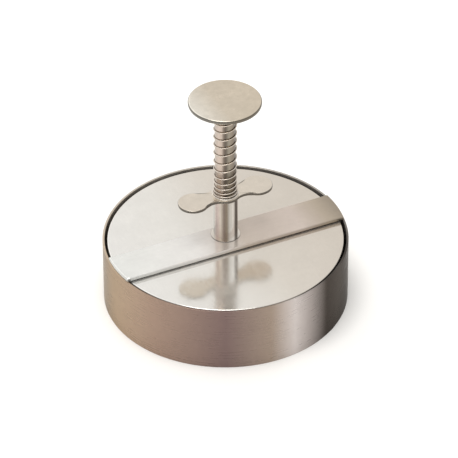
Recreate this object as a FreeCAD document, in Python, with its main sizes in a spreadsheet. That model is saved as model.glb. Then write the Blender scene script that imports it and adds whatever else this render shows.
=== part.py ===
"""Patty press: a ring mould with a sprung plunger.

The origin is the centre of the ring's foot, +Z is up and the bridge runs along X.
Every size is a cell of the sheet, in millimetres, and each piece is bound to those cells.
"""
import FreeCAD, Part
import os
import re

import Sketcher
from FreeCAD import Vector

doc = FreeCAD.newDocument("patty_press")

# Driving dimensions, in millimetres unless the name says turns.
SIZES = {
    "ring_outer_radius": 60.0,
    "ring_wall": 1.0,
    "ring_height": 33.8,
    "rim_round": 0.2,
    "bridge_thickness": 1.7,
    "bridge_end_inset": 0.5,
    "bridge_front": 12.6,
    "bridge_back": 7.3,
    "bridge_edge_round": 0.4,
    "weld_leg": 0.8,
    "weld_half_width": 6.5,
    "tube_outer_radius": 6.0,
    "tube_bore_radius": 5.2,
    "tube_lip": 0.7,
    "tube_spigot_radius": 5.6,
    "collar_neck_radius": 6.5,
    "collar_flange_radius": 7.2,
    "collar_above_bridge": 0.3,
    "finger_gap": 22.9,
    "finger_thickness": 1.5,
    "finger_centre_radius": 7.0,
    "finger_lobe_radius": 7.5,
    "finger_lobe_distance": 17.1,
    "finger_waist_radius": 8.0,
    "finger_edge_round": 0.35,
    "washer_thickness": 0.8,
    "washer_outer_radius": 6.5,
    "washer_bore_radius": 5.2,
    "wire_radius": 0.3,
    "coil_radius": 5.45,
    "spring_turns": 13.0,
    "rod_radius": 5.1,
    "plate_gap": 0.05,
    "plate_radius": 57.75,
    "plate_thickness": 2.0,
    "plate_edge_round": 0.5,
    "screw_radius": 2.0,
    "screw_head_radius": 3.6,
    "screw_head_land": 0.3,
    "screw_length": 12.0,
    "ferrule_radius": 6.3,
    "ferrule_height": 4.0,
    "disc_radius": 17.75,
    "disc_thickness": 2.0,
    "disc_edge_round": 0.7,
    "total_height": 114.6,
}

sheet = doc.addObject("Spreadsheet::Sheet", "Sizes")
for row, (alias, value) in enumerate(SIZES.items(), start=1):
    sheet.set("A%d" % row, alias)
    sheet.set("B%d" % row, str(value))
    sheet.setAlias("B%d" % row, alias)
doc.recompute()


def cells(text):
    """Write an expression of cell names with the sheet's name before each of them."""
    return re.sub(r"[a-z_]+", lambda word: "Sizes." + word[0] if word[0] in SIZES else word[0], text)


def value_of(text):
    """The number that an expression of cell names gives now, used to lay a sketch out before it is bound."""
    return float(sheet.evalExpression(cells(text)))


# Heights that several pieces share, each worked out from the cells.
BRIDGE_UNDER = "ring_height"
BRIDGE_TOP = BRIDGE_UNDER + " + bridge_thickness"
FINGER_UNDER = BRIDGE_TOP + " + finger_gap"
FINGER_TOP = FINGER_UNDER + " + finger_thickness"
LOWER_WASHER_TOP = FINGER_TOP + " + washer_thickness"
PLATE_TOP = BRIDGE_UNDER + " - tube_lip - plate_gap"
PLATE_UNDER = PLATE_TOP + " - plate_thickness"
DISC_UNDER = "total_height - disc_thickness"
FERRULE_UNDER = DISC_UNDER + " - ferrule_height"
UPPER_WASHER_UNDER = FERRULE_UNDER + " - washer_thickness"
RING_BORE = "ring_outer_radius - ring_wall"
BRIDGE_END = "ring_outer_radius - bridge_end_inset"
SCREW_CONE_TOP = PLATE_UNDER + " + screw_head_land + screw_head_radius - screw_radius"


def new_body(name):
    """Start an empty body whose label names its file."""
    body = doc.addObject("PartDesign::Body", name)
    body.Label = name
    return body


def new_sketch(body, role, height=None):
    """Attach a sketch to one of the body's own planes, raised by an expression of the cells."""
    sketch = body.newObject("Sketcher::SketchObject", body.Name + "_sketch")
    plane = next(item for item in body.Origin.OriginFeatures if item.Role == role)
    sketch.AttachmentSupport = [(plane, "")]
    sketch.MapMode = "FlatFace"
    if height:
        sketch.setExpression("AttachmentOffset.Base.z", cells(height))
    return sketch


def bind(sketch, kind, geometry, expression, sign=1.0):
    """Add a dimension to the sketch and bind it to an expression of the cells."""
    number = sketch.addConstraint(Sketcher.Constraint(kind, *geometry, sign * value_of(expression)))
    text = cells(expression) if sign > 0 else "-(" + cells(expression) + ")"
    sketch.setExpression("Constraints[%d]" % number, text)


def turned(name, corners, angle="360"):
    """Turn a closed profile about Z, half the angle to each side of X.

    Each corner is a radius and a height. They and the angle are expressions of the cells.
    """
    body = new_body(name)
    sketch = new_sketch(body, "XZ_Plane")
    points = [Vector(value_of(radius), value_of(height), 0) for radius, height in corners]
    for index, point in enumerate(points):
        sketch.addGeometry(Part.LineSegment(point, points[(index + 1) % len(points)]), False)
    for index in range(len(points)):
        following = (index + 1) % len(points)
        sketch.addConstraint(Sketcher.Constraint("Coincident", index, 2, following, 1))
    for index, (radius, height) in enumerate(corners):
        bind(sketch, "DistanceX", (-1, 1, index, 1), radius)
        bind(sketch, "DistanceY", (-1, 1, index, 1), height)
    turn = body.newObject("PartDesign::Revolution", name + "_turn")
    turn.Profile = sketch
    turn.ReferenceAxis = (sketch, ["V_Axis"])
    turn.setExpression("Angle", cells(angle))
    turn.Midplane = True
    body.Tip = turn
    doc.recompute()
    return body


def round_edges(body, radius, chosen):
    """Round the edges of the body that the test picks."""
    base = body.Tip
    names = ["Edge%d" % (i + 1) for i, edge in enumerate(base.Shape.Edges) if chosen(edge)]
    rounding = body.newObject("PartDesign::Fillet", body.Name + "_round")
    rounding.Base = (base, names)
    rounding.setExpression("Radius", cells(radius))
    body.Tip = rounding
    doc.recompute()
    return body


def is_circle(edge, radius):
    """True for a full or partial circle about Z of the given radius."""
    return edge.Curve.TypeId == "Part::GeomCircle" and abs(edge.Curve.Radius - radius) < 1e-4


def padded(body, sketch, thickness):
    """Raise a sketch into a plate."""
    pad = body.newObject("PartDesign::Pad", body.Name + "_pad")
    pad.Profile = sketch
    pad.setExpression("Length", cells(thickness))
    body.Tip = pad
    doc.recompute()
    return body


# The mould ring is a plain band; both rims are eased.
mould_ring = turned("mould_ring", [
    (RING_BORE, "0"),
    ("ring_outer_radius", "0"),
    ("ring_outer_radius", "ring_height"),
    (RING_BORE, "ring_height"),
])
round_edges(mould_ring, "rim_round", lambda edge: edge.Curve.TypeId == "Part::GeomCircle")

# The bridge is a flat strip that lies on the rim, with its ends cut round to follow it. Its front edge
# lies further from the tube than its back edge. The collar's neck fills its round hole.
bridge = new_body("bridge")
strip = new_sketch(bridge, "XY_Plane", BRIDGE_UNDER)
end = value_of(BRIDGE_END)
front = -value_of("bridge_front")
back = value_of("bridge_back")
front_end = (end ** 2 - front ** 2) ** 0.5
back_end = (end ** 2 - back ** 2) ** 0.5
right_side = Part.Arc(Vector(front_end, front, 0), Vector(end, 0, 0), Vector(back_end, back, 0))
left_side = Part.Arc(Vector(-back_end, back, 0), Vector(-end, 0, 0), Vector(-front_end, front, 0))
strip.addGeometry([
    Part.LineSegment(Vector(-front_end, front, 0), Vector(front_end, front, 0)),
    right_side,
    Part.LineSegment(Vector(back_end, back, 0), Vector(-back_end, back, 0)),
    left_side,
    Part.Circle(Vector(0, 0, 0), Vector(0, 0, 1), value_of("collar_neck_radius")),
], False)
for first, second in ((0, 1), (1, 2), (2, 3), (3, 0)):
    strip.addConstraint(Sketcher.Constraint("Coincident", first, 2, second, 1))
for line in (0, 2):
    strip.addConstraint(Sketcher.Constraint("Horizontal", line))
for centre in (1, 3, 4):
    strip.addConstraint(Sketcher.Constraint("Coincident", centre, 3, -1, 1))
bind(strip, "Radius", (1,), BRIDGE_END)
bind(strip, "Radius", (3,), BRIDGE_END)
bind(strip, "Radius", (4,), "collar_neck_radius")
bind(strip, "DistanceY", (-1, 1, 0, 1), "bridge_front", sign=-1.0)
bind(strip, "DistanceY", (-1, 1, 2, 1), "bridge_back")
padded(bridge, strip, "bridge_thickness")
hole_radius = value_of("collar_neck_radius")
top_level = value_of(BRIDGE_TOP)
round_edges(
    bridge, "bridge_edge_round",
    lambda edge: edge.BoundBox.ZMin > top_level - 1e-4 and not is_circle(edge, hole_radius))

# A fillet weld under each end of the bridge joins it to the ring's inner wall.
for side, half_turn in (("right", 0.0), ("left", 180.0)):
    weld_bead = turned("weld_bead_" + side, [
        (RING_BORE, BRIDGE_UNDER),
        (RING_BORE + " - weld_leg", BRIDGE_UNDER),
        (RING_BORE, BRIDGE_UNDER + " - weld_leg"),
    ], angle="2 * asin(weld_half_width / (" + RING_BORE + "))")
    weld_bead.Placement = FreeCAD.Placement(Vector(0, 0, 0), FreeCAD.Rotation(Vector(0, 0, 1), half_turn))

# The collar's neck is pressed into the bridge, and its thin flange lies on top.
turned("tube_base_collar", [
    ("tube_outer_radius", BRIDGE_UNDER),
    ("collar_neck_radius", BRIDGE_UNDER),
    ("collar_neck_radius", BRIDGE_TOP),
    ("collar_flange_radius", BRIDGE_TOP),
    ("collar_flange_radius", BRIDGE_TOP + " + collar_above_bridge"),
    ("tube_outer_radius", BRIDGE_TOP + " + collar_above_bridge"),
])

# The guide tube ends in a lip under the bridge, where the press plate stops, and its top is a spigot
# that fills the finger plate's hole.
turned("guide_tube", [
    ("tube_bore_radius", BRIDGE_UNDER + " - tube_lip"),
    ("tube_outer_radius", BRIDGE_UNDER + " - tube_lip"),
    ("tube_outer_radius", FINGER_UNDER),
    ("tube_spigot_radius", FINGER_UNDER),
    ("tube_spigot_radius", FINGER_TOP),
    ("tube_bore_radius", FINGER_TOP),
])

# The finger plate is a dog-bone: a round middle, a round lobe at each end, and four hollow waists
# tangent to them. A waist's centre is where both circles, grown by the waist's radius, meet.
finger_plate = new_body("finger_plate")
bone = new_sketch(finger_plate, "XY_Plane", FINGER_UNDER)
middle = value_of("finger_centre_radius")
lobe = value_of("finger_lobe_radius")
lobe_x = value_of("finger_lobe_distance")
waist = value_of("finger_waist_radius")
waist_x = ((middle + waist) ** 2 - (lobe + waist) ** 2 + lobe_x ** 2) / (2 * lobe_x)
waist_y = ((middle + waist) ** 2 - waist_x ** 2) ** 0.5
middle_touch = Vector(waist_x, waist_y, 0) * (middle / (middle + waist))
lobe_touch = Vector(lobe_x, 0, 0) + (Vector(waist_x - lobe_x, waist_y, 0) * (lobe / (lobe + waist)))


def quarter(point, right, upper):
    """Mirror a point of the plate's right upper quarter into the quarter that is asked for."""
    return Vector(point.x if right else -point.x, point.y if upper else -point.y, 0)


arcs = []
for right, upper in ((True, True), (False, True), (False, False), (True, False)):
    deepest = quarter(Vector(waist_x, waist_y - waist, 0), right, upper)
    arcs.append((quarter(lobe_touch, right, upper), deepest, quarter(middle_touch, right, upper)))
for upper in (True, False):
    crown = quarter(Vector(0, middle, 0), True, upper)
    arcs.append((quarter(middle_touch, True, upper), crown, quarter(middle_touch, False, upper)))
for right in (True, False):
    tip = quarter(Vector(lobe_x + lobe, 0, 0), right, True)
    arcs.append((quarter(lobe_touch, right, True), tip, quarter(lobe_touch, right, False)))
for start, halfway, end in arcs:
    bone.addGeometry(Part.Arc(start, halfway, end), False)
bone.addGeometry(Part.Circle(Vector(0, 0, 0), Vector(0, 0, 1), value_of("tube_spigot_radius")), False)
WAISTS, CROWNS, TIPS, SPIGOT_HOLE = (0, 1, 2, 3), (4, 5), (6, 7), 8


def meeting_ends(first, second):
    """Find which ends of two arcs of the outline lie on the same spot, or nothing."""
    for first_end in (1, 2):
        for second_end in (1, 2):
            if bone.getPoint(first, first_end).distanceToPoint(bone.getPoint(second, second_end)) < 1e-6:
                return first, first_end, second, second_end
    return None


for waist_arc in WAISTS:
    for round_arc in CROWNS + TIPS:
        ends = meeting_ends(waist_arc, round_arc)
        if ends:
            bone.addConstraint(Sketcher.Constraint("Tangent", *ends))
    bind(bone, "Radius", (waist_arc,), "finger_waist_radius")
for crown_arc in CROWNS:
    bone.addConstraint(Sketcher.Constraint("Coincident", crown_arc, 3, -1, 1))
    bind(bone, "Radius", (crown_arc,), "finger_centre_radius")
for tip_arc, sign in zip(TIPS, (1.0, -1.0)):
    bone.addConstraint(Sketcher.Constraint("PointOnObject", tip_arc, 3, -1))
    bind(bone, "DistanceX", (-1, 1, tip_arc, 3), "finger_lobe_distance", sign=sign)
    bind(bone, "Radius", (tip_arc,), "finger_lobe_radius")
bone.addConstraint(Sketcher.Constraint("Coincident", SPIGOT_HOLE, 3, -1, 1))
bind(bone, "Radius", (SPIGOT_HOLE,), "tube_spigot_radius")
padded(finger_plate, bone, "finger_thickness")
spigot = value_of("tube_spigot_radius")
round_edges(
    finger_plate, "finger_edge_round",
    lambda edge: edge.BoundBox.ZLength < 1e-6 and not is_circle(edge, spigot))

# Two flat washers carry the ends of the spring.
for name, under in (("lower_spring_washer", FINGER_TOP), ("upper_spring_washer", UPPER_WASHER_UNDER)):
    turned(name, [
        ("washer_bore_radius", under),
        ("washer_outer_radius", under),
        ("washer_outer_radius", under + " + washer_thickness"),
        ("washer_bore_radius", under + " + washer_thickness"),
    ])

# The return spring is a right-handed wire spring that rests on the lower washer.
return_spring = new_body("return_spring")
wire = new_sketch(return_spring, "XZ_Plane")
spring_foot = LOWER_WASHER_TOP + " + wire_radius"
wire_centre = Vector(value_of("coil_radius"), value_of(spring_foot), 0)
wire.addGeometry(Part.Circle(wire_centre, Vector(0, 0, 1), value_of("wire_radius")), False)
bind(wire, "Radius", (0,), "wire_radius")
bind(wire, "DistanceX", (-1, 1, 0, 3), "coil_radius")
bind(wire, "DistanceY", (-1, 1, 0, 3), spring_foot)
coil = return_spring.newObject("PartDesign::AdditiveHelix", "return_spring_coil")
coil.Profile = wire
coil.ReferenceAxis = (wire, ["V_Axis"])
coil.Mode = "height-turns-angle"
coil.setExpression(
    "Height", cells(UPPER_WASHER_UNDER + " - wire_radius - (" + spring_foot + ")"))
coil.setExpression("Turns", cells("spring_turns"))
return_spring.Tip = coil
doc.recompute()

# The plunger rod runs in the tube; its foot is drilled for the plate screw.
turned("plunger_rod", [
    ("screw_radius", PLATE_TOP),
    ("rod_radius", PLATE_TOP),
    ("rod_radius", DISC_UNDER),
    ("0", DISC_UNDER),
    ("0", PLATE_UNDER + " + screw_length"),
    ("screw_radius", PLATE_UNDER + " + screw_length"),
])

# The ferrule is a sleeve around the rod's top, brazed under the disc.
turned("disc_ferrule", [
    ("rod_radius", FERRULE_UNDER),
    ("ferrule_radius", FERRULE_UNDER),
    ("ferrule_radius", DISC_UNDER),
    ("rod_radius", DISC_UNDER),
])

# The palm disc is a flat pad with a soft edge.
palm_disc = turned("palm_disc", [
    ("0", DISC_UNDER),
    ("disc_radius", DISC_UNDER),
    ("disc_radius", "total_height"),
    ("0", "total_height"),
])
disc_edge = value_of("disc_radius")
round_edges(palm_disc, "disc_edge_round", lambda edge: is_circle(edge, disc_edge))

# The press plate has a countersunk hole in its middle, wide side down.
press_plate = turned("press_plate", [
    ("screw_head_radius", PLATE_UNDER),
    ("plate_radius", PLATE_UNDER),
    ("plate_radius", PLATE_TOP),
    ("screw_radius", PLATE_TOP),
    ("screw_radius", SCREW_CONE_TOP),
    ("screw_head_radius", PLATE_UNDER + " + screw_head_land"),
])
plate_edge = value_of("plate_radius")
round_edges(press_plate, "plate_edge_round", lambda edge: is_circle(edge, plate_edge))

# The countersunk screw is flush under the plate and fills the rod's hole.
turned("plate_screw", [
    ("0", PLATE_UNDER),
    ("screw_head_radius", PLATE_UNDER),
    ("screw_head_radius", PLATE_UNDER + " + screw_head_land"),
    ("screw_radius", SCREW_CONE_TOP),
    ("screw_radius", PLATE_UNDER + " + screw_length"),
    ("0", PLATE_UNDER + " + screw_length"),
])

doc.recompute()
failed = [item.Name for item in doc.Objects if {"Invalid", "Error"} & set(item.State)]
if failed:
    raise RuntimeError("failed objects: " + ", ".join(failed))

pieces = [item for item in doc.Objects if item.TypeId == "PartDesign::Body"]
for piece in pieces:
    if piece.Shape.isNull() or not piece.Shape.isValid() or len(piece.Shape.Solids) != 1:
        raise RuntimeError("bad shape: " + piece.Label)

os.makedirs("parts", exist_ok=True)
for piece in pieces:
    piece.Shape.exportStep("parts/" + piece.Label + ".step")
    low, high = piece.Shape.BoundBox.ZMin, piece.Shape.BoundBox.ZMax
    print("%-22s volume %9.1f mm3, height %6.2f to %6.2f" % (piece.Label, piece.Shape.Volume, low, high))
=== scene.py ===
"""Patty press in satin stainless steel: each piece's fine shape and finish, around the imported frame."""

import bpy
import numpy as np
from mathutils import Matrix, Vector


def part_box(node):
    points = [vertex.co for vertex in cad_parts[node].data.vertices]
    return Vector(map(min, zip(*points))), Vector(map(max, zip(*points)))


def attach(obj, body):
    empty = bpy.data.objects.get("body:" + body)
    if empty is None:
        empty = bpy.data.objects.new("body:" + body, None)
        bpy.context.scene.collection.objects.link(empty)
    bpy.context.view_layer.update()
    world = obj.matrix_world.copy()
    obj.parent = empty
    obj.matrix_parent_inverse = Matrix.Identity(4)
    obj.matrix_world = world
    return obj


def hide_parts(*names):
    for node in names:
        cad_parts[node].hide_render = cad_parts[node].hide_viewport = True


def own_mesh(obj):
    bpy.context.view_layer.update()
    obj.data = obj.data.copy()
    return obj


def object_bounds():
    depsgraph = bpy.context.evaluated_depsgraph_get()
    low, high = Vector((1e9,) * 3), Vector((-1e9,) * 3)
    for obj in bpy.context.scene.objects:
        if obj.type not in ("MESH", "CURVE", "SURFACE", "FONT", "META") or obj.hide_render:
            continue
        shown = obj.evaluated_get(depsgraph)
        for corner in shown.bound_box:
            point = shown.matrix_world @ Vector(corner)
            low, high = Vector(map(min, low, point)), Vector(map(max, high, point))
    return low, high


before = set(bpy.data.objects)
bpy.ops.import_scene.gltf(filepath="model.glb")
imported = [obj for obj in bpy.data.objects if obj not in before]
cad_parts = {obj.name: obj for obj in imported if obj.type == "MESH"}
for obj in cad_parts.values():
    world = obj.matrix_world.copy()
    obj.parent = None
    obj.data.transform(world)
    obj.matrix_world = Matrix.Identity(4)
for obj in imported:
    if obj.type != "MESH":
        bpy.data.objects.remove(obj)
cad_low, cad_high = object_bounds()


# ---- Mould ring --------------------------------------------------------------------------------
# A band of 1 mm stainless strip, rolled round and seam welded, with both rims eased by tumbling.
# Its outside is brushed along the band. The light and dark stretches round it, which real steel
# would mirror from the room, are painted in its tints, so they don't change with the light.

RING_WALL = 0.0010
RIM_EASE = 0.0002


def eased(corners, steps=6):
    """A closed outline of (radius, height) with rounded corners, from (radius, height, rounding) corners.

    A rounding's centre lies on the bisector of the corner's two sides, at rounding / sin(half the
    angle), and its arc runs between the points where the circle touches the sides. One more point
    just past each touch keeps the sides flat under smooth shading.
    """
    corners = np.asarray(corners, float)
    outline = []
    for index, (radius, height, rounding) in enumerate(corners):
        here = np.array([radius, height])
        back = corners[index - 1][:2] - here
        ahead = corners[(index + 1) % len(corners)][:2] - here
        back, ahead = back / np.linalg.norm(back), ahead / np.linalg.norm(ahead)
        if rounding == 0.0:
            outline.append(here[None])
            continue
        half = np.arccos(np.clip(back @ ahead, -1, 1)) / 2
        touch = rounding / np.tan(half)
        bisector = (back + ahead) / np.linalg.norm(back + ahead)
        centre = here + bisector * rounding / np.sin(half)
        first, last = here + back * touch - centre, here + ahead * touch - centre
        turn = np.arctan2(first[0] * last[1] - first[1] * last[0], first @ last)
        angle = np.linspace(0, turn, steps + 1)[:, None]
        arc = centre + first * np.cos(angle) + np.array([-first[1], first[0]]) * np.sin(angle)
        hold = 0.3 * rounding
        outline += [arc[:1] + back * hold, arc, arc[-1:] + ahead * hold]
    return np.concatenate(outline)


def skin(name, loops, closed):
    """Join loops of points, an array (rows, columns, 3) in metres, into one smooth mesh.

    Each row is a closed loop, counted anticlockwise as seen from outside. If closed, the last row
    joins the first; if not, each end row is capped by triangles to its own middle.
    """
    rows, columns = loops.shape[:2]
    number = np.arange(rows * columns).reshape(rows, columns)
    low = number if closed else number[:-1]
    high = np.roll(number, -1, axis=0) if closed else number[1:]
    quads = np.stack([low, np.roll(low, -1, 1), np.roll(high, -1, 1), high], axis=-1).reshape(-1, 4)
    points, faces = loops.reshape(-1, 3), quads.tolist()
    if not closed:
        bottom, top = rows * columns, rows * columns + 1
        points = np.concatenate([points, loops[:1].mean(1), loops[-1:].mean(1)])
        first, last = number[0], number[-1]
        faces += np.stack([np.roll(first, -1), first, np.full(columns, bottom)], -1).tolist()
        faces += np.stack([last, np.roll(last, -1), np.full(columns, top)], -1).tolist()
    mesh = bpy.data.meshes.new(name)
    mesh.from_pydata(points.tolist(), [], faces)
    mesh.polygons.foreach_set("use_smooth", np.ones(len(mesh.polygons), bool))
    mesh.update()
    mesh.set_sharp_from_angle(angle=np.radians(40))
    piece = bpy.data.objects.new(name, mesh)
    bpy.context.scene.collection.objects.link(piece)
    return piece


def lathe(name, outline, closed=True, columns=288):
    """Turn an outline about Z: a point is (radius cos a, radius sin a, height), a being the angle.

    A closed outline is a sleeve; an open one runs from the bottom face's middle round to the top's.
    """
    outline = np.asarray(outline, float)
    angle = np.linspace(0, 2 * np.pi, columns, endpoint=False)
    loops = np.stack(np.broadcast_arrays(
        outline[:, :1] * np.cos(angle), outline[:, :1] * np.sin(angle), outline[:, 1:]), axis=-1)
    return skin(name, loops, closed)


def colour_at(nodes, links, factor, stops):
    """A colour ramp over a factor, from (position, colour) stops."""
    ramp = nodes.new("ShaderNodeValToRGB")
    ramp.color_ramp.interpolation = "LINEAR"
    elements = ramp.color_ramp.elements
    while len(elements) < len(stops):
        elements.new(0.5)
    for element, (position, colour) in zip(elements, stops):
        element.position = position
        element.color = (*colour, 1.0)
    links.new(factor, ramp.inputs["Fac"])
    return ramp.outputs["Color"]


def stainless(name, tint, roughness, grain, grain_depth=0.15, mottle=0.05, edge=None, shine=1.0):
    """Stainless steel seen close: a brushed grain and a cloudy finish.

    The tint is one colour, or a function from tints_round or tints_along for one that varies.
    The grain is noise stretched by the three scales of grain, per metre, so it runs along the
    direction of the smallest one. The cloudiness mottles both colour and roughness. Where edge is
    given, it paints shade on the upright edges beside the two flat faces: the colour is multiplied
    by a share that falls from 1 to edge as the surface turns from level to upright. A shine below 1
    lowers the metalness, which lightens deep gaps more than real steel would.
    """
    material = bpy.data.materials.new(name)
    material.use_nodes = True
    nodes, links = material.node_tree.nodes, material.node_tree.links
    shader = nodes["Principled BSDF"]
    shader.inputs["Metallic"].default_value = shine
    place = nodes.new("ShaderNodeTexCoord").outputs["Object"]

    def noise(scales, detail, amount=0.6):
        stretch = nodes.new("ShaderNodeMapping")
        stretch.inputs["Scale"].default_value = scales
        links.new(place, stretch.inputs["Vector"])
        pattern = nodes.new("ShaderNodeTexNoise")
        pattern.inputs["Scale"].default_value = 1.0
        pattern.inputs["Detail"].default_value = detail
        pattern.inputs["Roughness"].default_value = amount
        links.new(stretch.outputs["Vector"], pattern.inputs["Vector"])
        return pattern.outputs["Fac"]

    def ranged(value, low, high, start=0.3, end=0.7):
        scale = nodes.new("ShaderNodeMapRange")
        scale.inputs["From Min"].default_value = start
        scale.inputs["From Max"].default_value = end
        scale.inputs["To Min"].default_value = low
        scale.inputs["To Max"].default_value = high
        links.new(value, scale.inputs["Value"])
        return scale.outputs["Result"]

    def product(first, second):
        mix = nodes.new("ShaderNodeMix")
        mix.data_type, mix.blend_type = "RGBA", "MULTIPLY"
        mix.inputs["Factor"].default_value = 1.0
        for socket, source in ((mix.inputs[6], first), (mix.inputs[7], second)):
            if isinstance(source, tuple):
                socket.default_value = (*source, 1.0)
            else:
                links.new(source, socket)
        return mix.outputs[2]

    fine = noise(grain, 3.0)
    clouds = noise((95.0, 95.0, 95.0), 4.0)
    blotches = noise((420.0, 420.0, 420.0), 2.0)
    first_tint = tint(nodes, links, place) if callable(tint) else tint
    base = product(first_tint, ranged(clouds, 1.0 - mottle, 1.0 + mottle))
    base = product(base, ranged(blotches, 1.0 - 0.6 * mottle, 1.0 + 0.6 * mottle))
    base = product(base, ranged(fine, 1.0 - 0.8 * mottle, 1.0 + 0.5 * mottle))
    # Painted shade: where edge is given, the upright faces are darkened by their slope alone.
    if edge is not None:
        split = nodes.new("ShaderNodeSeparateXYZ")
        links.new(nodes.new("ShaderNodeTexCoord").outputs["Normal"], split.inputs["Vector"])
        level = nodes.new("ShaderNodeMath")
        level.operation = "ABSOLUTE"
        links.new(split.outputs["Z"], level.inputs[0])
        base = product(base, ranged(level.outputs[0], edge, 1.0, 0.78, 0.99))
    links.new(base, shader.inputs["Base Color"])
    spread = nodes.new("ShaderNodeMath")
    spread.operation = "ADD"
    links.new(ranged(clouds, roughness - 0.04, roughness + 0.04), spread.inputs[0])
    links.new(ranged(fine, -0.05, 0.05), spread.inputs[1])
    links.new(spread.outputs[0], shader.inputs["Roughness"])
    bump = nodes.new("ShaderNodeBump")
    bump.inputs["Strength"].default_value = grain_depth
    bump.inputs["Distance"].default_value = 0.00004
    links.new(fine, bump.inputs["Height"])
    links.new(bump.outputs["Normal"], shader.inputs["Normal"])
    return material


def dress(piece, material, node, body):
    """Give a piece its finish, let it stand for its CAD node, and let it ride its body."""
    piece.data.materials.append(material)
    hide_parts(node)
    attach(piece, body)
    return piece


def tints_round(stops):
    """Colours round a piece's own axis: the stops run from 0 to 1 once round, the middle in front."""
    def tints(nodes, links, place):
        swing = nodes.new("ShaderNodeMapping")
        swing.inputs["Rotation"].default_value = (0.0, 0.0, np.radians(FRONT_TURN))
        turn = nodes.new("ShaderNodeTexGradient")
        turn.gradient_type = "RADIAL"
        links.new(place, swing.inputs["Vector"])
        links.new(swing.outputs["Vector"], turn.inputs["Vector"])
        return colour_at(nodes, links, turn.outputs["Fac"], stops)
    return tints


FRONT_TURN = 90.0
BAND_TINTS = [
    (0.00, (0.55, 0.51, 0.46)),
    (0.16, (0.55, 0.48, 0.40)),
    (0.25, (0.50, 0.385, 0.275)),
    (0.33, (0.345, 0.245, 0.19)),
    (0.43, (0.185, 0.128, 0.12)),
    (0.49, (0.325, 0.255, 0.205)),
    (0.523, (0.58, 0.53, 0.51)),
    (0.548, (0.36, 0.32, 0.305)),
    (0.580, (0.062, 0.053, 0.046)),
    (0.612, (0.095, 0.085, 0.077)),
    (0.645, (0.062, 0.054, 0.049)),
    (0.76, (0.32, 0.30, 0.28)),
    (1.00, (0.55, 0.51, 0.46)),
]
ring_low, ring_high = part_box("mould_ring")
RING_RADIUS, RING_HEIGHT = cad_high.x, ring_high.z
ring_bore = RING_RADIUS - RING_WALL
mould_ring = lathe("mould_ring_band", eased([
    (ring_bore, 0.0, RIM_EASE),
    (RING_RADIUS, 0.0, RIM_EASE),
    (RING_RADIUS, RING_HEIGHT, RIM_EASE),
    (ring_bore, RING_HEIGHT, RIM_EASE),
]), columns=512)
band_finish = stainless(
    "brushed_band", tints_round(BAND_TINTS), 0.30, (45.0, 45.0, 1100.0),
    grain_depth=0.03, mottle=0.035, shine=0.7)
band_shader = band_finish.node_tree.nodes["Principled BSDF"]
band_shader.inputs["Specular Tint"].default_value = (0.30, 0.28, 0.26, 1.0)
dress(mould_ring, band_finish, "mould_ring", "mould")


# ---- Bridge ------------------------------------------------------------------------------------
# A strip of 1.7 mm stainless sheet that lies across the rim, its ends cut round just inside the
# ring's edge. Its upper edges are rounded over, and it is welded to the ring from below. Its tints
# darken to the right, and part of that darkening is painted shade; its upright edges are also
# darkened with painted shade.

BRIDGE_EDGE_EASE = 0.0006
BRIDGE_UNDERSIDE_EASE = 0.00012
BRIDGE_HOLE = 0.0065
EVEN_SHARE = 0.03


def plate_with_hole(name, outline, low, high, hole, low_ease, high_ease, steps=5, spans=6):
    """A flat plate with rounded outer edges and a round hole about Z.

    outline(inset) gives the plate's edge moved inwards by an inset, as an array (columns, 2) that
    starts on +X and runs anticlockwise. The loops run from the hole, under the plate to its rounded
    edge, up, and back over the top to the hole. Across a face, a point is a straight blend of its
    hole point and its edge point, which lie in nearly the same direction from Z. That direction
    never turns back, so no two faces overlap.
    """
    edge = outline(0.0)
    polar = np.maximum.accumulate(np.unwrap(np.arctan2(edge[:, 1], edge[:, 0])))
    even = np.linspace(0, 2 * np.pi, len(edge), endpoint=False)
    angle = (1 - EVEN_SHARE) * polar + EVEN_SHARE * even
    rim = hole * np.stack([np.cos(angle), np.sin(angle)], axis=-1)
    swing = np.linspace(0, np.pi / 2, steps + 1)

    def level_loop(points, level):
        return np.c_[points, np.full(len(points), level)]

    def face(level, ease, shares):
        inner = outline(1.3 * ease)
        return [level_loop(rim + (inner - rim) * share, level) for share in shares]

    def corner(level, ease, inwards):
        rounds = [(ease * (1 - np.sin(turn)), level + inwards * ease * (1 - np.cos(turn))) for turn in swing]
        return [level_loop(outline(inset), height) for inset, height in rounds]

    shares = np.linspace(0, 1, spans + 1)
    loops = face(low, low_ease, shares) + corner(low, low_ease, 1.0)
    loops += corner(high, high_ease, -1.0)[::-1] + face(high, high_ease, shares[::-1])
    return skin(name, np.array(loops), closed=True)


bridge_low, bridge_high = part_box("bridge")


def bridge_edge(inset, end_points=36, side_points=90):
    """The bridge's edge: two arcs about Z at its ends, joined by two straight sides."""
    radius = bridge_high.x - inset
    back, front = bridge_high.y - inset, bridge_low.y + inset
    start, stop = np.arcsin(front / radius), np.arcsin(back / radius)
    right = np.linspace(start, stop, end_points)
    left = np.linspace(np.pi - stop, np.pi - start, end_points)
    arc = radius * np.stack([np.cos(right), np.sin(right)], axis=-1)
    far_arc = radius * np.stack([np.cos(left), np.sin(left)], axis=-1)
    share = np.linspace(0, 1, side_points)[1:-1, None]
    edge = np.concatenate([
        arc, arc[-1] + (far_arc[0] - arc[-1]) * share, far_arc, far_arc[-1] + (arc[0] - far_arc[-1]) * share])
    return np.roll(edge, -(end_points // 2), axis=0)


bridge = plate_with_hole(
    "bridge_strip", bridge_edge, bridge_low.z, bridge_high.z, BRIDGE_HOLE,
    BRIDGE_UNDERSIDE_EASE, BRIDGE_EDGE_EASE)


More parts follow.
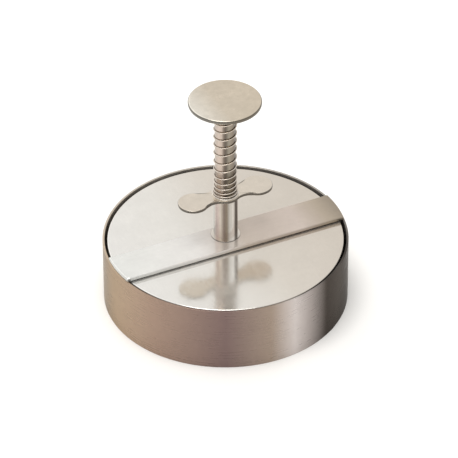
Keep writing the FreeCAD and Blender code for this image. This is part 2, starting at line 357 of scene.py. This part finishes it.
def tints_along(reach, stops):
    """Colours along X: the stops run from 0 at -reach to 1 at +reach."""
    def tints(nodes, links, place):
        split = nodes.new("ShaderNodeSeparateXYZ")
        along = nodes.new("ShaderNodeMapRange")
        along.inputs["From Min"].default_value = -reach
        along.inputs["From Max"].default_value = reach
        links.new(place, split.inputs["Vector"])
        links.new(split.outputs["X"], along.inputs["Value"])
        return colour_at(nodes, links, along.outputs["Result"], stops)
    return tints


BRIDGE_TINTS_AND_SHADE = [
    (0.0, (0.73, 0.74, 0.72)),
    (0.35, (0.80, 0.78, 0.76)),
    (0.55, (0.60, 0.525, 0.46)),
    (0.80, (0.60, 0.52, 0.465)),
    (0.92, (0.43, 0.365, 0.29)),
    (1.0, (0.28, 0.235, 0.185)),
]
# Painted shade towards the right of the strip and on its upright edges.
bridge_finish = stainless(
    "brushed_strip", tints_along(RING_RADIUS, BRIDGE_TINTS_AND_SHADE), 0.18, (60.0, 1500.0, 60.0),
    grain_depth=0.03, mottle=0.03, edge=0.85, shine=0.6)
dress(bridge, bridge_finish, "bridge", "mould")


# ---- Weld beads --------------------------------------------------------------------------------
# Two short fillet welds under the bridge hold its ends to the ring's inner wall. Each is a row of
# overlapping puddles, dull beside the brushed sheet.

WELD_LEG = 0.0008
WELD_PUDDLES = 9
weld_low, weld_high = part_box("weld_bead_right")
weld_half = np.arcsin(weld_high.y / ring_bore)


def weld_bead(name, middle, rows=120, columns=20):
    """A bead along an arc of the ring's bore.

    Its section is a quarter ellipse in the corner between wall and bridge, and its size is a half
    wave at each end, which closes it, times a ripple of one wave for each puddle.
    """
    share = np.linspace(0, 1, rows)[:, None]
    taper = np.clip(np.minimum(share, 1 - share) * rows / 8, 0.02, 1.0) ** 0.5
    size = WELD_LEG * taper * (0.88 + 0.12 * np.abs(np.sin(share * np.pi * WELD_PUDDLES)))
    swing = np.linspace(0, np.pi / 2, columns - 1)[None]
    inwards = np.concatenate([size * np.cos(swing), 0.0 * size], axis=1)
    downwards = np.concatenate([size * np.sin(swing), 0.0 * size], axis=1)
    angle = middle + (1 - 2 * share) * weld_half
    radius = ring_bore - inwards
    loops = np.stack(np.broadcast_arrays(
        radius * np.cos(angle), radius * np.sin(angle), weld_high.z - downwards), axis=-1)
    return skin(name, loops, closed=False)


weld_finish = stainless(
    "weld_metal", (0.60, 0.56, 0.52), 0.42, (900.0, 900.0, 900.0), grain_depth=0.6, mottle=0.12)
for side, middle in (("right", 0.0), ("left", np.pi)):
    dress(weld_bead("weld_" + side, middle), weld_finish, "weld_bead_" + side, "mould")


# ---- Guide tube and its collar -----------------------------------------------------------------
# A bright drawn tube, 12 mm outside, stands in a flanged collar that is pressed into the bridge. Its
# lower lip is the plunger's upper stop, and its top is turned down to a spigot for the finger plate.
# The bright and dark bands down the tube are painted in its tints, and aren't true reflections.

TUBE_BORE = 0.0052
TUBE_SPIGOT = 0.0056
COLLAR_NECK = 0.0065
tube_low, tube_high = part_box("guide_tube")
finger_low, finger_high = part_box("finger_plate")
collar_low, collar_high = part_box("tube_base_collar")
tube_radius = tube_high.x
tube = lathe("guide_tube_post", eased([
    (TUBE_BORE, tube_low.z, 0.0002),
    (tube_radius, tube_low.z, 0.0002),
    (tube_radius, finger_low.z, 0.0001),
    (TUBE_SPIGOT, finger_low.z, 0.0001),
    (TUBE_SPIGOT, tube_high.z, 0.0001),
    (TUBE_BORE, tube_high.z, 0.0001),
]), columns=160)
TUBE_TINTS = [
    (0.00, (0.60, 0.57, 0.52)),
    (0.24, (0.46, 0.47, 0.46)),
    (0.32, (0.72, 0.60, 0.56)),
    (0.365, (0.76, 0.69, 0.61)),
    (0.41, (0.29, 0.235, 0.205)),
    (0.45, (0.33, 0.28, 0.225)),
    (0.49, (0.76, 0.76, 0.75)),
    (0.54, (1.0, 1.0, 1.0)),
    (0.585, (0.07, 0.06, 0.05)),
    (0.68, (0.24, 0.22, 0.20)),
    (1.00, (0.60, 0.57, 0.52)),
]
tube_finish = stainless(
    "drawn_tube", tints_round(TUBE_TINTS), 0.14, (1400.0, 1400.0, 60.0), grain_depth=0.06, mottle=0.03)
dress(tube, tube_finish, "guide_tube", "mould")
collar = lathe("tube_collar", eased([
    (tube_radius, collar_low.z, 0.0),
    (COLLAR_NECK, collar_low.z, 0.0001),
    (COLLAR_NECK, bridge_high.z, 0.00005),
    (collar_high.x, bridge_high.z, 0.00005),
    (collar_high.x, collar_high.z, 0.00012),
    (tube_radius, collar_high.z, 0.0),
]), columns=160)
# Painted shade: the collar's upright faces are darkened, which draws a dark line round its flange.
collar_finish = stainless(
    "turned_collar", (0.74, 0.69, 0.63), 0.20, (600.0, 600.0, 600.0), grain_depth=0.05, mottle=0.02, edge=0.12)
dress(collar, collar_finish, "tube_base_collar", "mould")


# ---- Finger plate ------------------------------------------------------------------------------
# A dog-bone stamped from 1.5 mm sheet, with a lobe for a finger on each side of the tube. Its edge
# is tumbled round, and it sits on the tube's shoulder, around the spigot.

FINGER_EASE = 0.00035
LOBE_DISTANCE = 0.0171
FINGER_MIDDLE = 0.0070
WAIST = 0.0080
lobe_radius = finger_high.x - LOBE_DISTANCE
waist_x = ((FINGER_MIDDLE + WAIST) ** 2 - (lobe_radius + WAIST) ** 2 + LOBE_DISTANCE ** 2) / (2 * LOBE_DISTANCE)
waist_y = np.sqrt((FINGER_MIDDLE + WAIST) ** 2 - waist_x ** 2)
lobe_turn = np.arctan2(waist_y, waist_x - LOBE_DISTANCE)
middle_turn = np.arctan2(waist_y, waist_x)


def finger_edge(inset, lobe_points=60, waist_points=24, middle_points=30):
    """The dog-bone's edge: round lobes and middle joined by hollow waists, all tangent.

    A waist's centre is where the circles of lobe and middle, grown by the waist's radius, cross.
    Moving the edge inwards shrinks lobes and middle and grows the waists about the same centres.
    """
    def arc(x, y, radius, start, stop, count):
        angle = np.linspace(start, stop, count, endpoint=False)
        return np.stack([x + radius * np.cos(angle), y + radius * np.sin(angle)], axis=-1)

    lobe = arc(LOBE_DISTANCE, 0.0, lobe_radius - inset, 0.0, lobe_turn, lobe_points)
    waist = arc(waist_x, waist_y, WAIST + inset, lobe_turn - np.pi, middle_turn - np.pi, waist_points)
    middle = arc(0.0, 0.0, FINGER_MIDDLE - inset, middle_turn, np.pi / 2, middle_points)
    quarter = np.concatenate([lobe, waist, middle, [[0.0, FINGER_MIDDLE - inset]]])
    half = np.concatenate([quarter, (quarter * (-1, 1))[-2::-1]])
    return np.concatenate([half, (half * (1, -1))[-2:0:-1]])


finger_plate = plate_with_hole(
    "finger_grip", finger_edge, finger_low.z, finger_high.z, TUBE_SPIGOT, FINGER_EASE, FINGER_EASE)
# Painted shade: the plate's rounded edge is darkened by its slope.
finger_finish = stainless(
    "tumbled_sheet", (0.76, 0.69, 0.60), 0.22, (300.0, 300.0, 300.0), grain_depth=0.04, mottle=0.02, edge=0.22)
dress(finger_plate, finger_finish, "finger_plate", "mould")


# ---- Spring washers ----------------------------------------------------------------------------
# Two small turned washers give the spring's end coils a flat seat, one on the finger plate and one
# under the ferrule, where it lets the plunger turn without winding the spring.

WASHER_BORE = 0.0052
hardware_finish = stainless(
    "turned_hardware", (0.74, 0.71, 0.67), 0.24, (500.0, 500.0, 1500.0), grain_depth=0.08)
for node, body in (("lower_spring_washer", "mould"), ("upper_spring_washer", "spring_seat")):
    washer_low, washer_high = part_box(node)
    washer = lathe(node.replace("spring_", "") + "_ring", eased([
        (WASHER_BORE, washer_low.z, 0.00012),
        (washer_high.x, washer_low.z, 0.00018),
        (washer_high.x, washer_high.z, 0.00018),
        (WASHER_BORE, washer_high.z, 0.00012),
    ], steps=4), columns=128)
    dress(washer, hardware_finish, node, body)


# ---- Return spring -----------------------------------------------------------------------------
# Right-handed, of 0.6 mm bright spring wire. It is wound by hand feed, so its coils are uneven: close
# at both ends, widest in the middle, with the lowest coils sprung out a little.

WIRE = 0.0003
COIL_PITCHES = [
    0.0, 0.0007, 0.0022, 0.0026, 0.0030, 0.0037, 0.0043, 0.0048,
    0.0052, 0.0046, 0.0044, 0.0046, 0.0038, 0.0026, 0.0007]
FLARE = 0.0006
FLARE_TURNS = 2.5
WIRE_START = -0.4
lower_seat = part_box("lower_spring_washer")[1].z
upper_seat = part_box("upper_spring_washer")[0].z


def coil_spring(name, low, high, coil_radius, columns=14, per_turn=56):
    """Wire wound round Z between two seats.

    The wire's centre is at (r cos a, r sin a, z). Its height is the running sum of the pitches,
    smoothed, and scaled to fill the gap; r is the coil's radius plus a flare that dies away upwards.
    A section is a circle across the wire's direction, shrunk to a rounded nose at both ends.
    """
    knots = np.cumsum(COIL_PITCHES)
    turns = np.linspace(0, len(knots) - 1, per_turn * (len(knots) - 1) + 1)
    climb = np.interp(turns, np.arange(len(knots)), knots)
    soft = np.hanning(per_turn)
    padded = np.pad(climb, per_turn, mode="edge")
    climb = np.convolve(padded, soft / soft.sum(), mode="same")[per_turn:-per_turn]
    climb = (climb - climb[0]) / (climb[-1] - climb[0])
    height = low + WIRE + climb * (high - low - 2 * WIRE)
    radius = coil_radius + FLARE * np.clip(1 - turns / FLARE_TURNS, 0, 1) ** 1.5
    angle = 2 * np.pi * turns + WIRE_START
    centre = np.stack([radius * np.cos(angle), radius * np.sin(angle), height], axis=-1)
    ahead = np.gradient(centre, axis=0)
    ahead /= np.linalg.norm(ahead, axis=1, keepdims=True)
    outwards = np.stack([np.cos(angle), np.sin(angle), np.zeros_like(angle)], axis=-1)
    across = np.cross(ahead, outwards)
    across /= np.linalg.norm(across, axis=1, keepdims=True)
    outwards = np.cross(across, ahead)
    nose = np.clip(np.minimum(np.arange(len(turns)), np.arange(len(turns))[::-1]) / 3.0, 0.05, 1.0)
    girth = WIRE * np.sqrt(1 - (1 - nose) ** 2)[:, None, None]
    swing = np.linspace(0, 2 * np.pi, columns, endpoint=False)[None, :, None]
    loops = centre[:, None] + girth * (np.cos(swing) * outwards[:, None] - np.sin(swing) * across[:, None])
    return skin(name, loops, closed=False)


spring_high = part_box("return_spring")[1]
COIL_RADIUS = spring_high.x - WIRE
spring = coil_spring("spring_coils", lower_seat, upper_seat, COIL_RADIUS)
spring_finish = stainless(
    "spring_wire", (0.64, 0.58, 0.52), 0.20, (900.0, 900.0, 900.0), grain_depth=0.03, mottle=0.03)
dress(spring, spring_finish, "return_spring", "mould")
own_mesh(spring)


# ---- Plunger rod and ferrule -------------------------------------------------------------------
# The 10.2 mm rod slides and turns in the tube. Its foot is drilled for the plate screw, and a short
# sleeve round its top is brazed under the palm disc. The rod's light and dark bands are painted
# reflection and shade, like the tube's, so they turn with the plunger.

SCREW_SHANK = 0.0020
screw_low, screw_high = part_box("plate_screw")
rod_low, rod_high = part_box("plunger_rod")
rod = lathe("rod_bar", eased([
    (0.0005, screw_high.z, 0.0),
    (SCREW_SHANK, screw_high.z, 0.0),
    (SCREW_SHANK, rod_low.z, 0.0001),
    (rod_high.x, rod_low.z, 0.0002),
    (rod_high.x, rod_high.z, 0.0001),
    (0.0005, rod_high.z, 0.0),
], steps=4), closed=False, columns=144)
# Painted reflection and shade: light and dark bands round the rod, their middle facing the front.
ROD_PAINTED_LIGHT_AND_SHADE = [
    (0.00, (0.60, 0.55, 0.50)),
    (0.22, (0.36, 0.32, 0.28)),
    (0.33, (0.56, 0.47, 0.41)),
    (0.375, (0.50, 0.42, 0.36)),
    (0.41, (0.18, 0.145, 0.12)),
    (0.44, (0.13, 0.11, 0.09)),
    (0.49, (0.30, 0.27, 0.22)),
    (0.55, (0.24, 0.20, 0.16)),
    (0.62, (0.12, 0.10, 0.085)),
    (1.00, (0.60, 0.55, 0.50)),
]
rod_finish = stainless(
    "drawn_rod", tints_round(ROD_PAINTED_LIGHT_AND_SHADE), 0.15, (900.0, 900.0, 40.0), grain_depth=0.05, mottle=0.03)
dress(rod, rod_finish, "plunger_rod", "plunger")
ferrule_low, ferrule_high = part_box("disc_ferrule")
ferrule = lathe("ferrule_sleeve", eased([
    (rod_high.x, ferrule_low.z, 0.0),
    (ferrule_high.x, ferrule_low.z, 0.0003),
    (ferrule_high.x, ferrule_high.z, 0.0001),
    (rod_high.x, ferrule_high.z, 0.0),
]), columns=128)
dress(ferrule, hardware_finish, "disc_ferrule", "plunger")


# ---- Palm disc ---------------------------------------------------------------------------------
# A round pad of 2 mm sheet for the palm, brazed on the rod. Its face is polished smooth and its edge
# is rounded over so that it doesn't bite the hand. Its colour lightens towards the left, partly as a
# painted highlight, and its rounded edge is darkened with painted shade.

DISC_EASE = 0.0007
disc_low, disc_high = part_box("palm_disc")
disc = lathe("palm_pad", eased([
    (0.0005, disc_low.z, 0.0),
    (disc_high.x, disc_low.z, DISC_EASE),
    (disc_high.x, disc_high.z, DISC_EASE),
    (0.0005, disc_high.z, 0.0),
]), closed=False, columns=224)
# Painted highlight, in part: the disc lightens towards the left.
DISC_TINTS_AND_HIGHLIGHT = [(0.0, (0.88, 0.84, 0.76)), (0.4, (0.69, 0.61, 0.50)), (1.0, (0.71, 0.62, 0.50))]
disc_finish = stainless(
    "tumbled_disc", tints_along(disc_high.x, DISC_TINTS_AND_HIGHLIGHT), 0.22, (300.0, 300.0, 300.0),
    grain_depth=0.04, mottle=0.035, edge=0.22)
dress(disc, disc_finish, "palm_disc", "plunger")


# ---- Press plate and its screw -----------------------------------------------------------------
# A flat round plate of 2 mm sheet with a rounded edge runs inside the ring with 1.25 mm to spare. A
# countersunk screw from below holds it on the foot of the rod. The plate's colour lightens towards
# the left, partly as a painted highlight, and its rounded edge is darkened with painted shade.

PLATE_EASE = 0.0005
SCREW_HEAD = 0.0036
SCREW_LAND = 0.0003
press_low, press_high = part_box("press_plate")
countersink = SCREW_HEAD - SCREW_SHANK
plate = lathe("press_disc", eased([
    (SCREW_HEAD, press_low.z, 0.0),
    (press_high.x, press_low.z, PLATE_EASE),
    (press_high.x, press_high.z, PLATE_EASE),
    (SCREW_SHANK, press_high.z, 0.0),
    (SCREW_SHANK, press_low.z + SCREW_LAND + countersink, 0.0),
    (SCREW_HEAD, press_low.z + SCREW_LAND, 0.0),
]), columns=512)
# Painted highlight, in part: the plate lightens towards the left.
PLATE_TINTS_AND_HIGHLIGHT = [
    (0.0, (0.86, 0.85, 0.83)),
    (0.35, (0.85, 0.83, 0.79)),
    (0.60, (0.75, 0.70, 0.635)),
    (1.0, (0.68, 0.62, 0.55)),
]
plate_finish = stainless(
    "brushed_plate", tints_along(RING_RADIUS, PLATE_TINTS_AND_HIGHLIGHT), 0.14, (1800.0, 120.0, 120.0),
    grain_depth=0.02, mottle=0.015, edge=0.6, shine=0.85)
dress(plate, plate_finish, "press_plate", "plunger")
screw = lathe("countersunk_screw", eased([
    (0.0005, press_low.z, 0.0),
    (SCREW_HEAD, press_low.z, 0.00008),
    (SCREW_HEAD, press_low.z + SCREW_LAND, 0.0),
    (SCREW_SHANK, press_low.z + SCREW_LAND + countersink, 0.0),
    (SCREW_SHANK, screw_high.z, 0.0002),
    (0.0005, screw_high.z, 0.0),
]), closed=False, columns=96)
dress(screw, hardware_finish, "plate_screw", "plunger")


# ---- Table, light and camera -------------------------------------------------------------------
# The press stands on a plain white table under two soft lamps: a strong one high above, and a weak
# one low and close behind.

FLOOR_REACH = 3.0
corner = FLOOR_REACH * np.array([[-1, -1, 0], [1, -1, 0], [1, 1, 0], [-1, 1, 0]], float)
floor_mesh = bpy.data.meshes.new("table_top")
floor_mesh.from_pydata(corner.tolist(), [], [(0, 1, 2, 3)])
floor = bpy.data.objects.new("table_top", floor_mesh)
bpy.context.scene.collection.objects.link(floor)
paper = bpy.data.materials.new("white_table")
paper.use_nodes = True
paper.node_tree.nodes["Principled BSDF"].inputs["Base Color"].default_value = (0.90, 0.895, 0.885, 1.0)
paper.node_tree.nodes["Principled BSDF"].inputs["Roughness"].default_value = 0.8
floor_mesh.materials.append(paper)

room = bpy.data.worlds.new("pale_room")
room.use_nodes = True
room.node_tree.nodes["Background"].inputs["Color"].default_value = (1.0, 0.985, 0.96, 1.0)
room.node_tree.nodes["Background"].inputs["Strength"].default_value = 0.85
bpy.context.scene.world = room


def lamp(name, place, size, power, colour):
    """A square soft lamp that faces the press."""
    light = bpy.data.lights.new(name, "AREA")
    light.size, light.energy, light.color = size, power, colour
    holder = bpy.data.objects.new(name, light)
    bpy.context.scene.collection.objects.link(holder)
    holder.location = place
    holder.rotation_euler = (Vector((0, 0, 0.04)) - Vector(place)).to_track_quat("-Z", "Y").to_euler()


lamp("top_lamp", (-0.3, -0.2, 2.2), 1.2, 26.0, (1.0, 0.99, 0.97))
lamp("back_lamp", (-0.20, 0.62, 0.58), 0.8, 0.9, (1.0, 0.985, 0.96))

AZIMUTH, ELEVATION = np.radians(-25.267), np.radians(36.919)
AIM_RIGHT, AIM_UP, TILT = np.radians(0.049), np.radians(0.190), np.radians(-0.266)
DISTANCE, LENS_OVER_SENSOR = 2.0, 4099.15 / 458.0
back = np.array([
    np.sin(AZIMUTH) * np.cos(ELEVATION), -np.cos(AZIMUTH) * np.cos(ELEVATION), np.sin(ELEVATION)])
right = np.cross(-back, (0.0, 0.0, 1.0))
right /= np.linalg.norm(right)
ahead = -back + np.tan(AIM_RIGHT) * right + np.tan(AIM_UP) * np.cross(right, -back)
ahead /= np.linalg.norm(ahead)
right = np.cross(ahead, np.cross(right, -back))
right /= np.linalg.norm(right)
up = np.cross(right, ahead)
side = np.cos(TILT) * right + np.sin(TILT) * up
top = np.cos(TILT) * up - np.sin(TILT) * right
lens = bpy.data.cameras.new("camera")
lens.sensor_width, lens.lens = 36.0, 36.0 * LENS_OVER_SENSOR
lens.clip_start, lens.clip_end = 0.1, 20.0
camera = bpy.data.objects.new("camera", lens)
bpy.context.scene.collection.objects.link(camera)
placing = np.eye(4)
placing[:3, 0], placing[:3, 1], placing[:3, 2] = side, top, -ahead
placing[:3, 3] = np.array([0.0, 0.0, 0.030]) + DISTANCE * back
camera.matrix_world = Matrix(placing.tolist())
bpy.context.scene.camera = camera
bpy.context.scene.view_settings.view_transform = "Standard"
